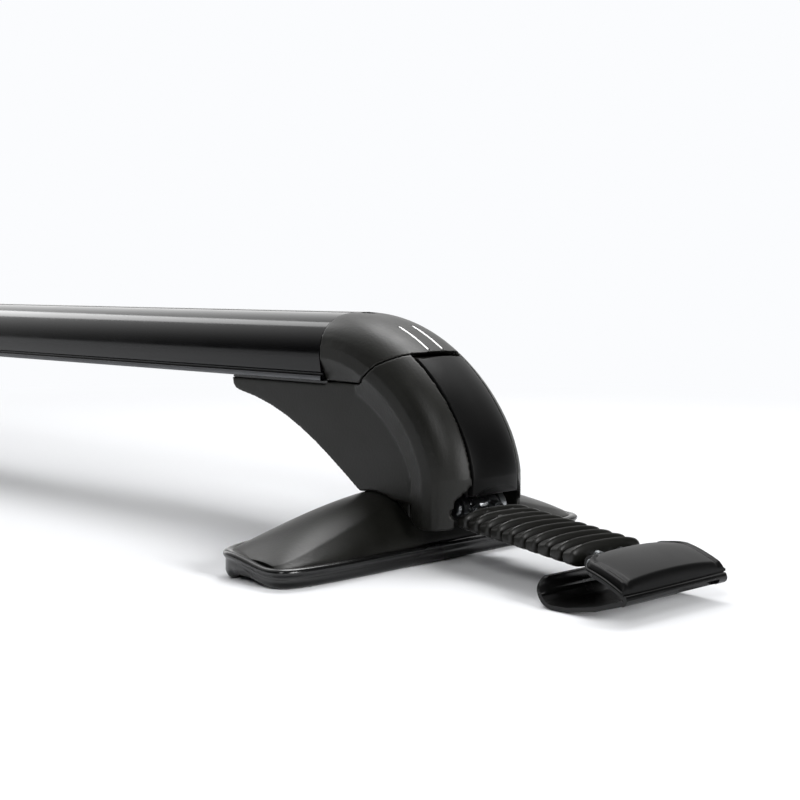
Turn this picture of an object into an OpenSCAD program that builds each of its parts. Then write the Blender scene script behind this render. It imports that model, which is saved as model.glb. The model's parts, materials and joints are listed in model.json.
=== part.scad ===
// Roof rack crossbar: one extruded bar on two clamp-on feet that mirror each other.
// X runs along the bar, Y along the vehicle and Z up, in millimetres. The origin lies on the
// floor under the middle of the bar. Each foot is drawn about its own middle, +X outboard.

/* [Overall] */
// Distance between the middles of the two feet
foot_span = 860; // [780:10:1000]
// Height of the bar's top face over the floor
rack_h = 98; // [96:0.5:100]

/* [Bar] */
// Width of the bar's section
bar_w = 48; // [47:0.5:50]
// Height of the bar's section
bar_h = 28; // [27:0.5:29]
// Height of the widest place over the bar's underside
bar_widest = 9.5; // [8:0.5:11]
// Wall thickness of the bar
bar_wall = 2.2; // [1.6:0.1:2.6]
// Width of the slot along the top
slot_w = 10; // [8:0.5:11]
// Thickness of the slot's lips
slot_lip = 2; // [1.6:0.1:2.4]
// Height of the room under the slot's lips
slot_room = 6; // [5:0.5:7]
// Width of the clamp channel's mouth below
channel_w = 8; // [7:0.5:9]
// Thickness of the channel's lips
channel_lip = 2.4; // [2:0.1:2.8]
// Height of the room over the channel's lips
channel_room = 5.2; // [4.8:0.1:5.6]
// Undercut on each side of slot and channel
undercut = 3.5; // [3:0.25:4]

/* [Sole and plate] */
// Length of the rubber sole, along the vehicle
sole_len = 176; // [168:1:190]
// Distance from the foot's middle to the sole's outboard edge
sole_out = 30; // [29:0.5:31]
// Distance from the foot's middle to the sole's inboard edge at its ends
sole_in_end = 14; // [12:0.5:16]
// The same at the middle of its length
sole_in_mid = 24; // [22:0.5:28]
// Thickness of the sole's floor
sole_floor = 4; // [3.8:0.1:4.4]
// Height of the sole's rolled rim at the outboard edge
rim_h = 8; // [7.6:0.1:9]
// Rise of the rim from its outboard to its inboard edge
rim_rise = 3; // [1:0.25:4]
// Width of the rim
rim_w = 5.5; // [5:0.25:6]
// Depth of the groove under the rim's bead
rim_groove = 0.9; // [0.5:0.1:1.3]
// Height of the bead over that groove
bead_h = 2; // [1.6:0.1:2.2]
// Width of the relief under the sole
relief_w = 14; // [10:1:16]
// Depth of that relief
relief_d = 2; // [1:0.25:2.5]
// Thickness of the steel base plate
plate_t = 2.5; // [2:0.25:3]

/* [Foot shell] */
// Height of the dome's ridge over the floor, at the tower
dome_h = 28; // [27:0.5:29]
// Height of the dome's ends over the plate
dome_end = 4.5; // [3.5:0.25:5]
// Wall of the dome
dome_wall = 2.5; // [2:0.1:3]

/* [Tower] */
// Distance from the foot's middle in to the end of the bar
cap_in = 24; // [22:0.5:26]
// Length of the web under the bar
web_len = 62.7; // [58:0.5:70]
// Width of the web
web_w = 40; // [39:0.5:41]
// Distance from the foot's middle out to the tower's outboard face
face_out = 52.6; // [52:0.2:53.4]
// Lean of that face, out towards the brow
face_lean = 3.3; // [2.5:0.1:4]
// Height where the outboard face turns back in
brow_z = 36; // [35.5:0.25:36.5]
// Pull of the shoulder curve along the top
shoulder_top = 36; // [32:1:38]
// Pull of the shoulder curve down the face
shoulder_side = 30; // [28:1:33]
// Depth of the outboard shell, square to its skin
shell_deep = 28; // [27:0.5:29]
// Radius of the turn below the brow
brow_r = 14; // [13:0.5:15]
// Thickness of the rubber sheet between web and bar
gasket_t = 1.2; // [0.8:0.1:1.6]
// Width of the gap between cap and tower
seam_gap = 0.5; // [0.3:0.1:0.8]
// Width of the room for the tension parts
room_w = 26.2; // [26:0.1:27]
// Width of the strap's mouth
mouth_w = 38; // [37.5:0.25:38.5]
// Height of the mouth's roof
mouth_z = 33.5; // [33:0.1:33.8]

/* [Cap and cover] */
// Wall of the end cap
cap_wall = 3; // [2.5:0.1:3.5]
// Length of the cap's spigots inside the bar
spigot_len = 14; // [8:1:20]
// Distance of the cap's screw from the end of the bar
cap_screw_in = 4.5; // [4:0.25:5.5]
// Width of each stripe inlay
stripe_w = 1.4; // [1:0.1:2]
// Distance between the two stripes
stripe_gap = 8; // [6:0.5:10]
// Thickness of the stripe inlays
stripe_t = 1.3; // [0.8:0.1:1.6]
// Play at each side of the access cover
cover_play = 0.4; // [0.3:0.05:0.5]
// Thickness of the access cover
cover_t = 3; // [2.6:0.1:3.2]
// Height of the cover's lower edge over the floor
cover_low = 29; // [28.6:0.2:30]
// Radius of the cover's hinge knuckle
knuckle_r = 2.6; // [2.4:0.1:2.8]
// Depth of the hinge axis under the skin
knuckle_in = 4; // [3.8:0.1:4.4]
// Radius of the cover's trunnions
trunnion_r = 1.2; // [1:0.05:1.3]
// Length of each trunnion
trunnion_len = 2; // [1.5:0.25:2.25]

/* [Tension parts] */
// Height of the tension bolt's axis
bolt_z = 42; // [41.8:0.1:42.4]
// Radius of the tension bolt
bolt_r = 3; // [2.5:0.25:3.25]
// Radius of its head
bolt_head_r = 4.5; // [4:0.1:4.6]
// Height of its head
bolt_head_h = 4; // [3.5:0.1:4.2]
// Width across the flats of its hex socket
hex_af = 4; // [3:0.5:5]
// Thickness of the washer and of the retaining ring
ring_t = 1; // [0.8:0.1:1.2]
// Distance from the foot's middle to the bulkhead's outboard face
bulkhead_out = 38.5; // [38.3:0.1:38.7]
// Thickness of the bulkhead
bulkhead_t = 3.5; // [3:0.25:4]
// Length of the carriage block along the bolt
carriage_len = 10; // [9:0.5:11]
// Travel of the carriage
travel = 6; // [4:0.5:6.5]

/* [Strap] */
// Distance from the foot's middle to the anchor pin
anchor_out = 42; // [41.6:0.1:42.4]
// Height of the anchor pin
anchor_z = 23.5; // [23.2:0.1:23.8]
// Height of the hook's pin
hook_pin_z = 14.8; // [14.8:0.1:15.4]
// Distance between the two pins
strap_run = 77; // [75:0.5:82]
// Angle of the strap in plan, as it lies at rest
strap_yaw = -9; // [-12:1:0]
// Angle of the hook in plan, as it lies at rest
hook_yaw = -3; // [-6:1:0]
// Radius of the anchor pin
anchor_r = 2.5; // [2:0.1:2.8]
// Radius of the hook's pin
hook_pin_r = 2; // [1.6:0.1:2.1]
// Radius of each wire rope
rope_r = 1.4; // [1.2:0.1:1.6]
// Distance between the two ropes
rope_gap = 11; // [10:0.5:11]
// Number of ribs on the strap
rib_count = 10; // [8:1:10]
// Distance from rib to rib
rib_pitch = 6.5; // [6.2:0.05:6.5]
// Width of the strap
strap_w = 33.6; // [32:0.2:34]
// Thickness of the strap's ribs at their sides
strap_t = 7.8; // [7.4:0.1:8.4]
// Rise of the ribs in the middle
strap_crown = 1.6; // [0.8:0.2:2]
// Depth of the grooves between the ribs
rib_deep = 1.6; // [1.2:0.1:1.8]

/* [Hook] */
// Width of the hook's steel plate
hook_w = 55; // [52:1:60]
// Thickness of the steel plate
hook_t = 1.6; // [1.4:0.1:1.8]
// Reach of the hook's flange outboard of its pin
flange_out = 24.6; // [23:0.2:27]
// Drop of the flange from its inner to its outer edge
flange_drop = 6.5; // [5.5:0.25:7]
// Radius of the fold, at the plate's middle
fold_r = 1.3; // [1.2:0.1:1.6]
// Reach of the J lip inboard of the pin
lip_in = 12; // [11:0.25:12.5]
// Height of the J lip over the hook's underside
lip_h = 10.2; // [9:0.2:10.2]
// Thickness of the hook's pad at its edge
pad_t = 3; // [2.5:0.1:3.5]
// Rise of the pad in the middle
pad_crown = 2.2; // [1.5:0.1:3]
// How much thinner the pad is along its back edge
pad_thin = 0.8; // [0.4:0.1:1]
// Extra width of the pad over the plate
pad_extra = 2; // [1:0.5:4]

/* [Fasteners] */
// Radius of the clamp and base screws
screw_r = 3; // [2.5:0.25:3]
// Radius of their heads
screw_head_r = 5; // [4.5:0.1:5.2]
// Radius of the cap's screw
cap_screw_r = 2; // [1.5:0.1:2.2]
// Radius of the hook's rivets
rivet_r = 1.6; // [1.2:0.1:1.8]

/* [Hidden] */
PIECES = [
    "sole", "base_plate", "base_screws", "foot_shell", "tower_body", "bar_gasket", "clamp_screws",
    "clamp_nuts", "end_cap", "cap_screw", "stripe_inlays", "access_cover", "tension_bolt",
    "bolt_washer", "bolt_clip", "carriage", "anchor_pin", "rope_ferrules", "wire_ropes",
    "strap_sleeve", "hook_pin", "hook_plate", "hook_pad", "hook_rivets"
];
SIDES = ["right", "left"];
$fn = 48;

// Radial clearance of a pin or shaft that turns, and a small overlap for clean cuts
run_fit = 0.05;
cut = 1;
// Play between parts that pass each other
play = 0.3;

plastic = "#343433";
rubber = "#1b1b1b";
steel = "#b9bcc0";

foot_x = foot_span / 2;
bar_z = rack_h - bar_h;
bar_rise = bar_h - bar_widest;
bar_half = foot_x - cap_in;
// The bar's crown, and the outboard shell's section, follow one superellipse
crown_power = 2 / 2.55;
// Lower flank of the bar: [distance in from the widest place, height], down to the lip
flank = [[0.8, 3.8], [1.8, 3.3], [1.8, 2.5], [0.6, 2], [0.6, 0.5], [1.1, 0]];
flank_in = 1.8;

plate_z = sole_floor;
dome_z = plate_z + plate_t;
// Corners of the foot's plan follow one superellipse; the dome stops just short of its tip
foot_power = 0.3;
dome_reach = sole_len / 2 - rim_w - play;
dome_half = dome_reach * 0.985;
rim_tilt = atan(rim_rise / (sole_out + sole_in_mid));

web_end = -cap_in - web_len;
web_top = bar_z - gasket_t;
clamp_x = [web_end + 21, web_end + 49];
clamp_seat_z = bar_z - 6.5;
screw_head_h = 4;
base_screw_x = 11;
base_screw_y = 11.5;
base_screw_len = 16;
neck_in = 4;
neck_out = 21;
neck_w = 34;
room_in = 8;
mouth_in = 27;

cap_screw_x = -cap_in + cap_screw_in;
cap_head_r = 3;
cap_head_z = rack_h - 5;
cap_screw_deep = 12;

// The shoulder's cubic curve, in X and Z, from the bar's top to the outboard face
shoulder = [
    [-cap_in, rack_h], [-cap_in + shoulder_top, rack_h],
    [face_out - face_lean, brow_z + shoulder_side], [face_out, brow_z]
];
shoulder_steps = 12;
shell_foot_z = 12;
knuckle_t = 0.457;
knuckle = skin_point(knuckle_t) + skin_normal(knuckle_t) * knuckle_in;
stripe_t0 = 0.245;
stripe_t1 = 0.42;
cover_w = room_w - 2 * cover_play;

bulkhead_z = [38, 51];
ring_r = bolt_r + 2;
carriage_x = bulkhead_out - bulkhead_t - ring_t - 2.5 - carriage_len;
carriage_w = room_w - 1.8;
carriage_z = [mouth_z + 0.4, 50];
arm_t = 3.2;
arm_top = bulkhead_z[0] - 0.7;
anchor_eye_r = anchor_r + 1.6;
bolt_end = 1;

strap_pitch = asin((anchor_z - hook_pin_z) / strap_run);
sleeve_start = 7.2;
sleeve_drop = 2.4;
sleeve_len = rib_count * rib_pitch;
sleeve_tilt = 2.75;
ferrule_w = 5;
ferrule_r = 4;
hook_ferrule_r = 3;
crimp_r = rope_r + 1.1;
crimp_len = 6;

hook_eye_r = hook_pin_r + 1.2;
hook_eye_y = 11.5;
hook_eye_w = 5;
flange_in = hook_eye_r + 0.4;
flange_z0 = 2.2;
flange_steps = 8;
pad_neck_w = 35;
pad_flare = 7;
hook_low = hook_pin_z - 0.2;
rivet_u = 15;
rivet_v = 17;
window_v = [0, 23];

function spow(v, e) = sign(v) * pow(abs(v), e);
function reversed(list) = [for (i = [len(list) - 1:-1:0]) list[i]];
function unit(v) = v / norm(v);

// Half superellipse from +side over the crown to -side, drawn in by g
function crown(w, rise, g, n = 16) = [
    for (i = [0:n]) let (a = 180 * i / n)
        [(w / 2 - g) * spow(cos(a), crown_power), (rise - g) * spow(sin(a), crown_power)]
];

// Point, direction and inward normal of the shoulder curve at t
function skin_point(t) =
    pow(1 - t, 3) * shoulder[0] + 3 * pow(1 - t, 2) * t * shoulder[1]
    + 3 * (1 - t) * t * t * shoulder[2] + t * t * t * shoulder[3];
function skin_run(t) = unit(
    pow(1 - t, 2) * (shoulder[1] - shoulder[0]) + 2 * (1 - t) * t * (shoulder[2] - shoulder[1])
    + t * t * (shoulder[3] - shoulder[2]));
function skin_normal(t) = [skin_run(t)[1], -skin_run(t)[0]];

// Outline of a band between two depths under the skin, in X and Z
function skin_band(t0, t1, d0, d1, n = 6) = concat(
    [for (i = [0:n]) let (t = t0 + (t1 - t0) * i / n) skin_point(t) + skin_normal(t) * d0],
    [for (i = [n:-1:0]) let (t = t0 + (t1 - t0) * i / n) skin_point(t) + skin_normal(t) * d1]);

// Seam between cap and tower, in X and Z, moved up by g
function seam(g) = [
    [-cap_in, bar_z + g], [-2, bar_z + g], [8, bar_z + 8 + g], [18, bar_z + 12.2 + g],
    [44, bar_z + 17 + g]
];

// Plan outline of the foot, grown by g
function sole_inner(y) =
    -sole_in_mid + (sole_in_mid - sole_in_end) * pow(min(1, abs(y) * 2 / sole_len), 2);
function foot_outline(g, n = 64) = [
    for (i = [0:n - 1])
        let (a = 360 * i / n, y = (sole_len / 2 + g) * spow(sin(a), foot_power),
            x_in = sole_inner(y))
        [(sole_out + x_in) / 2 + ((sole_out - x_in) / 2 + g) * spow(cos(a), foot_power), y]
];

// Dome: height of its ridge and its arch at a station y
function ridge(y) =
    dome_end + (dome_h - dome_z - dome_end) * pow(max(0, 1 - pow(abs(y) / dome_half, 1.7)), 0.85);
function arch(u) = pow(max(0, 1 - pow(abs(u), 2.4)), 0.55);

// Flange of the hook: its top face at u, and its half width there
function flange_s(u) = (u - flange_in) / (flange_out - flange_in);
function flange_z(u) = flange_z0 - flange_drop * pow(max(0, flange_s(u)), 1.7);
function flare(u, w) =
    pad_neck_w / 2 + (w - pad_neck_w) / 2 * sin(90 * min(1, (u - flange_in) / pad_flare));
function flange_us() = [
    for (i = [0:flange_steps]) flange_in + (flange_out - flange_in) * i / flange_steps
];

// Outline of a strip of thickness t along a path
function path_normal(p, i) =
    let (d = unit(p[min(i + 1, len(p) - 1)] - p[max(i - 1, 0)])) [-d[1], d[0]];
function strip(p, t) = concat(
    [for (i = [0:len(p) - 1]) p[i] + path_normal(p, i) * t / 2],
    [for (i = [len(p) - 1:-1:0]) p[i] - path_normal(p, i) * t / 2]);
function arc(c, r, a0, a1, n = 8) = [
    for (i = [0:n]) let (a = a0 + (a1 - a0) * i / n) c + r * [cos(a), sin(a)]
];

// Closed skin over a row of equal rings, each clockwise from outside its first end
module skin(rings) {
    n = len(rings[0]);
    last = (len(rings) - 1) * n;
    polyhedron(
        points = [for (r = rings) each r],
        faces = concat(
            [[for (j = [0:n - 1]) j]],
            [for (i = [0:len(rings) - 2]) for (j = [0:n - 1]) let (k = (j + 1) % n)
                [i * n + k, i * n + j, (i + 1) * n + j, (i + 1) * n + k]],
            [[for (j = [n - 1:-1:0]) last + j]]));
}

// Upright slab with an outline in X and Z, centred across Y
module slab(w, outline) {
    rotate([90, 0, 0])
        linear_extrude(w, center = true)
            polygon(outline);
}

// Round bars along Y and along X
module ybar(r, length, at) {
    translate([at[0], 0, at[1]])
        rotate([90, 0, 0])
            cylinder(r = r, h = length, center = true);
}

module xbar(r, x0, x1, z) {
    translate([x0, 0, z])
        rotate([0, 90, 0])
            cylinder(r = r, h = x1 - x0);
}

module xbar_at(r, x0, x1, y, z) {
    translate([0, y, 0])
        xbar(r, x0, x1, z);
}

module zbar(r, x, y, z0, z1) {
    translate([x, y, z0])
        cylinder(r = r, h = z1 - z0);
}

module at_side(s) {
    if (s == "left")
        mirror([1, 0, 0])
            translate([foot_x, 0, 0])
                children();
    else
        translate([foot_x, 0, 0])
            children();
}

// Frame of the strap: origin on the anchor pin, X towards the hook's pin
module at_strap() {
    translate([anchor_out, 0, anchor_z])
        rotate([0, 0, strap_yaw])
            rotate([0, strap_pitch, 0])
                children();
}

// Frame of the hook: origin on its pin, X outboard, level
module at_hook() {
    at_strap()
        translate([strap_run, 0, 0])
            rotate([0, -strap_pitch, 0])
                rotate([0, 0, hook_yaw - strap_yaw])
                    children();
}

// Section of the bar, across and up from its underside
module bar_outline() {
    polygon(concat(
        [for (p = crown(bar_w, bar_rise, 0)) p + [0, bar_widest]],
        [for (p = flank) [-bar_w / 2 + p[0], p[1]]],
        [for (p = reversed(flank)) [bar_w / 2 - p[0], p[1]]]));
}

module bar_inside() {
    foot = bar_w / 2 - flank_in - bar_wall;
    polygon(concat(
        [for (p = crown(bar_w, bar_rise, bar_wall)) p + [0, bar_widest]],
        [[-foot, bar_wall], [foot, bar_wall]]));
}

module box_2d(w, z0, z1) {
    translate([-w / 2, z0])
        square([w, z1 - z0]);
}

module bar_section() {
    slot_floor = bar_h - slot_lip - slot_room;
    channel_roof = channel_lip + channel_room;
    difference() {
        bar_outline();
        difference() {
            bar_inside();
            box_2d(slot_w + 2 * undercut + 2 * bar_wall, slot_floor - bar_wall, bar_h);
            box_2d(channel_w + 2 * undercut + 2 * bar_wall, 0, channel_roof + bar_wall);
        }
        box_2d(slot_w, bar_h - slot_lip - cut, bar_h + cut);
        box_2d(slot_w + 2 * undercut, slot_floor, bar_h - slot_lip);
        box_2d(channel_w, -cut, channel_lip + cut);
        box_2d(channel_w + 2 * undercut, channel_lip, channel_roof);
    }
}

module along_bar() {
    translate([-bar_half, 0, bar_z])
        rotate([90, 0, 90])
            linear_extrude(2 * bar_half)
                children();
}

module bar() {
    color("#0c0c0d")
        along_bar()
            bar_section();
}

module top_strip() {
    strip_foot = 2.2;
    strip_side = 0.15;
    seat = bar_h - slot_lip;
    color(rubber)
        along_bar() {
            box_2d(slot_w - 2 * strip_side, seat - strip_foot, bar_h);
            box_2d(slot_w + 2 * undercut - 2 * strip_side, seat - strip_foot, seat);
        }
}

// Outboard shell's full form: the bar's crown carried round the shoulder, drawn in by g
module shell_form(g, t0 = 0, deep = shell_deep) {
    side = [[-web_w / 2 + g, deep], [web_w / 2 - g, deep]];
    section = concat([for (p = crown(bar_w, bar_rise, g)) [p[0], bar_rise - p[1]]], side);
    stations = concat(
        [for (i = [0:shoulder_steps]) let (t = t0 + (1 - t0) * i / shoulder_steps)
            [skin_point(t), skin_normal(t)]],
        [[[face_out, shell_foot_z], [-1, 0]]]);
    skin([for (s = stations) [for (p = section)
        [s[0][0] + s[1][0] * p[1], p[0], s[0][1] + s[1][1] * p[1]]]]);
}

// Arched form over the plate, grown by g
module dome_form(g, drop) {
    n = 14;
    rings = 18;
    half = dome_half + g;
    side = rim_w + play - g;
    skin([for (i = [0:rings])
        let (y = -half * cos(180 * i / rings),
            share = pow(1 - pow(abs(y) / (dome_reach + g), 2 / foot_power), foot_power / 2),
            mid = (sole_out + sole_inner(y)) / 2,
            reach = ((sole_out - sole_inner(y)) / 2 - side) * share,
            x1 = mid + reach, x0 = mid - reach, rise = ridge(min(abs(y), dome_half)) + g)
        concat(
            [for (j = [0:n]) let (u = -cos(180 * j / n))
                [(x0 + x1) / 2 + u * (x1 - x0) / 2, y, dome_z + rise * arch(u)]],
            [[x1, y, dome_z - drop], [x0, y, dome_z - drop]])]);
}

module foot_slice(g, z0, z1) {
    translate([0, 0, z0])
        linear_extrude(z1 - z0)
            polygon(foot_outline(g));
}

// Plane of the rim's top, rising inboard, and planes a distance below it
module on_rim(drop) {
    translate([sole_out, 0, rim_h - drop])
        rotate([0, rim_tilt, 0])
            translate([-sole_out, 0, 0])
                children();
}

module rim_cut(drop, h, depth) {
    on_rim(drop)
        difference() {
            foot_slice(cut, 0, h);
            foot_slice(-depth, 0, h);
        }
}

module sole() {
    groove_h = 1;
    round_h = 0.7;
    color(rubber)
        difference() {
            foot_slice(0, 0, rim_h + rim_rise + cut);
            foot_slice(-rim_w, sole_floor, rim_h + rim_rise + 2 * cut);
            on_rim(0)
                translate([-sole_len, -sole_len, 0])
                    cube([2 * sole_len, 2 * sole_len, 20]);
            rim_cut(bead_h + groove_h, groove_h, rim_groove);
            rim_cut(round_h, round_h + cut, round_h);
            translate([0, -sole_len, -cut])
                cube([relief_w, 2 * sole_len, relief_d + cut]);
            for (y = [-1, 1])
                zbar(screw_head_r + 1, base_screw_x, y * base_screw_y, -cut, sole_floor + cut);
        }
}

module base_plate() {
    color(steel)
        difference() {
            foot_slice(-rim_w - play, plate_z, plate_z + plate_t);
            for (y = [-1, 1])
                zbar(screw_r, base_screw_x, y * base_screw_y, plate_z - cut, dome_z + cut);
        }
}

module base_screws() {
    head_h = sole_floor - 1.5;
    color(steel)
        for (y = [-1, 1]) {
            zbar(screw_head_r, base_screw_x, y * base_screw_y, plate_z - head_h, plate_z);
            zbar(screw_r, base_screw_x, y * base_screw_y, plate_z, dome_z + base_screw_len);
        }
}

module foot_shell() {
    color(plastic)
        difference() {
            dome_form(0, 0.01);
            dome_form(-dome_wall, dome_wall);
            translate([-neck_in - play, -neck_w / 2 - play, 0])
                cube([neck_in + neck_out + 2 * play, neck_w + 2 * play, dome_h + 10]);
        }
}

// Outline of the tower's outboard part below the seam, in X and Z
function tower_outline() = concat(
    [for (i = [1:4]) seam(-seam_gap / 2)[i]],
    [[face_out + 15, bar_z], [face_out + 15, brow_z]],
    arc([face_out - brow_r, brow_z], brow_r, 0, -60),
    [[46, 21.5], [49.6, 19.4], [48.9, 17.2], [41, 15.9], [33, 15.6], [27, 16.3], [21, 19.6],
        [15, 25], [7, 28], [-6, 27], [-6, bar_z - seam_gap / 2]]);

// Outline of the web, in X and Z, with its curved inboard edge
function web_outline() =
    let (w = [[web_end + 4.7, bar_z - 7], [web_end + 36.7, bar_z - 12], [-30, 44], [-4.7, 26.3]])
    concat(
        [[web_end, web_top], [web_end + 0.7, web_top - 3], [web_end + 2.6, web_top - 5]],
        [for (i = [0:8]) let (t = i / 8)
            pow(1 - t, 3) * w[0] + 3 * pow(1 - t, 2) * t * w[1] + 3 * (1 - t) * t * t * w[2]
            + t * t * t * w[3]],
        [[24, 24], [24, bar_z - seam_gap / 2], [-cap_in, bar_z - seam_gap / 2],
            [-cap_in, web_top]]);

// Room behind the access cover, less the bulkhead that carries the bolt
module tension_room() {
    difference() {
        slab(room_w, [
            [room_in, mouth_z], [room_in, 56], [16, 68], [30, 92], [80, 92], [80, mouth_z]]);
        slab(room_w + cut, [
            [bulkhead_out - bulkhead_t, bulkhead_z[0]], [bulkhead_out, bulkhead_z[0]],
            [bulkhead_out, bulkhead_z[1]], [bulkhead_out - bulkhead_t, bulkhead_z[1]]]);
    }
}

// Opening for the strap, with sloping shoulders under the room above it
module strap_mouth() {
    translate([mouth_in, 0, 0])
        rotate([90, 0, 90])
            linear_extrude(50)
                polygon([
                    [-room_w / 2, mouth_z], [room_w / 2, mouth_z], [mouth_w / 2, mouth_z - 6],
                    [mouth_w / 2, 5], [-mouth_w / 2, 5], [-mouth_w / 2, mouth_z - 6]]);
}

module tower_body() {
    color(plastic)
        difference() {
            union() {
                difference() {
                    union() {
                        slab(web_w, web_outline());
                        intersection() {
                            shell_form(0);
                            slab(bar_w + 10, tower_outline());
                        }
                    }
                    dome_form(play, 2);
                }
                translate([-neck_in, -neck_w / 2, dome_z])
                    cube([neck_in + neck_out, neck_w, mouth_z - dome_z]);
            }
            tension_room();
            strap_mouth();
            ybar(knuckle_r + play, room_w, knuckle);
            slab(room_w, [
                knuckle - [knuckle_in + play, 0], knuckle - [knuckle_in + play, -6],
                knuckle + [10, 10], knuckle + [10, 0]]);
            ybar(trunnion_r + run_fit, cover_w + 2 * trunnion_len + 2 * play, knuckle);
            xbar(bolt_r + run_fit, bolt_end - play, bulkhead_out + cut, bolt_z);
            zbar(cap_screw_r, cap_screw_x, 0, bar_z - cap_screw_deep, bar_z);
            for (x = clamp_x) {
                zbar(screw_r, x, 0, clamp_seat_z - cut, bar_z);
                zbar(screw_head_r + 0.5, x, 0, 30, clamp_seat_z);
            }
            for (y = [-1, 1])
                zbar(screw_r, base_screw_x, y * base_screw_y, dome_z - cut,
                    dome_z + base_screw_len);
        }
}

module bar_gasket() {
    color(rubber)
        difference() {
            translate([web_end + 0.5, -web_w / 2 + 0.5, web_top])
                cube([web_len - 0.5, web_w - 1, gasket_t]);
            for (x = clamp_x)
                zbar(screw_r, x, 0, web_top - cut, bar_z + cut);
        }
}

module clamp_screws() {
    color(steel)
        for (x = clamp_x)
            difference() {
                union() {
                    zbar(screw_head_r, x, 0, clamp_seat_z - screw_head_h, clamp_seat_z);
                    zbar(screw_r, x, 0, clamp_seat_z, bar_z + channel_lip + channel_room - 0.5);
                }
                translate([x, 0, clamp_seat_z - screw_head_h - cut])
                    cylinder(r = hex_af / sqrt(3), h = cut + 2.5, $fn = 6);
            }
}

module clamp_nuts() {
    nut_h = channel_room - 1;
    nut_w = channel_w + 2 * undercut - 0.6;
    color(steel)
        for (x = clamp_x)
            difference() {
                translate([x - nut_w / 2, -nut_w / 2, bar_z + channel_lip])
                    cube([nut_w, nut_w, nut_h]);
                zbar(screw_r, x, 0, bar_z, bar_z + channel_lip + nut_h + cut);
            }
}

module end_cap() {
    spigot_y = 11.5;
    spigot = [6, 8];
    color(plastic)
        difference() {
            union() {
                difference() {
                    intersection() {
                        shell_form(0);
                        slab(bar_w + 10, concat(
                            seam(seam_gap / 2), [[44, 120], [-cap_in, 120]]));
                    }
                    shell_form(cap_wall, 0.05, shell_deep + 4);
                }
                zbar(4.5, cap_screw_x, 0, bar_z - seam_gap / 2, rack_h - 1.5);
                for (y = [spigot_y, -spigot_y - spigot[0]])
                    translate([-cap_in - spigot_len, y, bar_z + bar_widest])
                        cube([spigot_len + cut, spigot[0], spigot[1]]);
            }
            zbar(cap_screw_r + 0.2, cap_screw_x, 0, bar_z - cut, rack_h);
            zbar(cap_head_r + play, cap_screw_x, 0, cap_head_z, rack_h + cut);
            for (y = [-0.5, 0.5])
                translate([0, y * stripe_gap, 0])
                    slab(stripe_w, skin_band(stripe_t0, stripe_t1, -cut, 0.3 + stripe_t));
        }
}

module cap_screw() {
    color("#222222")
        difference() {
            union() {
                zbar(cap_head_r, cap_screw_x, 0, cap_head_z, cap_head_z + 2.5);
                zbar(cap_screw_r, cap_screw_x, 0, bar_z - cap_screw_deep, cap_head_z);
            }
            translate([cap_screw_x, 0, cap_head_z + 1])
                cylinder(r = 1.5, h = 2, $fn = 6);
        }
}

module stripe_inlays() {
    color("#f2f2f0")
        for (y = [-0.5, 0.5])
            translate([0, y * stripe_gap, 0])
                slab(stripe_w, skin_band(stripe_t0, stripe_t1, 0.3, 0.3 + stripe_t));
}

module access_cover() {
    n = skin_normal(knuckle_t);
    outline = [
        knuckle + n * 6, knuckle - n * 12, [90, knuckle[1]], [90, cover_low],
        [face_out - 12, cover_low], [face_out - 12, brow_z]
    ];
    color("#2b2b2b") {
        difference() {
            intersection() {
                shell_form(0);
                slab(cover_w, outline);
            }
            shell_form(cover_t, 0.05, shell_deep + 4);
            difference() {
                slab(cover_w + cut, [
                    [face_out - brow_r, brow_z], [face_out + cut, brow_z],
                    [face_out + cut, cover_low - cut], [face_out - brow_r, cover_low - cut]]);
                ybar(brow_r, cover_w + 2 * cut, [face_out - brow_r, brow_z]);
            }
        }
        ybar(knuckle_r, cover_w, knuckle);
        ybar(trunnion_r, cover_w + 2 * trunnion_len, knuckle);
    }
}

module tension_bolt() {
    seat = bulkhead_out + ring_t;
    color(steel)
        difference() {
            union() {
                xbar(bolt_r, bolt_end, seat, bolt_z);
                xbar(bolt_head_r, seat, seat + bolt_head_h, bolt_z);
            }
            translate([seat + 1, 0, bolt_z])
                rotate([0, 90, 0])
                    cylinder(r = hex_af / sqrt(3), h = bolt_head_h, $fn = 6);
        }
}

module ring_on_bolt(r, x0) {
    color(steel)
        difference() {
            xbar(r, x0, x0 + ring_t, bolt_z);
            xbar(bolt_r, x0 - cut, x0 + ring_t + cut, bolt_z);
        }
}

module bolt_washer() {
    ring_on_bolt(bolt_head_r, bulkhead_out);
}

module bolt_clip() {
    ring_on_bolt(ring_r, bulkhead_out - bulkhead_t - ring_t - run_fit);
}

module carriage() {
    arm_y = carriage_w / 2 - arm_t / 2;
    arm_out = anchor_out - 5;
    color(steel)
        difference() {
            union() {
                slab(carriage_w, [
                    [carriage_x, carriage_z[0]], [carriage_x + carriage_len, carriage_z[0]],
                    [carriage_x + carriage_len, carriage_z[1]], [carriage_x, carriage_z[1]]]);
                for (y = [-arm_y, arm_y])
                    translate([0, y, 0]) {
                        slab(arm_t, [
                            [carriage_x + 1, carriage_z[0]],
                            [mouth_in + travel + 0.4, carriage_z[0]],
                            [anchor_out - 3.6, anchor_z - 2], [anchor_out + 3.5, anchor_z + 2.1],
                            [arm_out, arm_top], [carriage_x + 1, arm_top]]);
                        ybar(anchor_eye_r, arm_t, [anchor_out, anchor_z]);
                    }
            }
            xbar(bolt_r + run_fit, carriage_x - cut, carriage_x + carriage_len + cut, bolt_z);
            ybar(anchor_r + run_fit, carriage_w + 2 * cut, [anchor_out, anchor_z]);
        }
}

module anchor_pin() {
    color(steel)
        ybar(anchor_r, carriage_w + 0.4, [anchor_out, anchor_z]);
}

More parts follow.
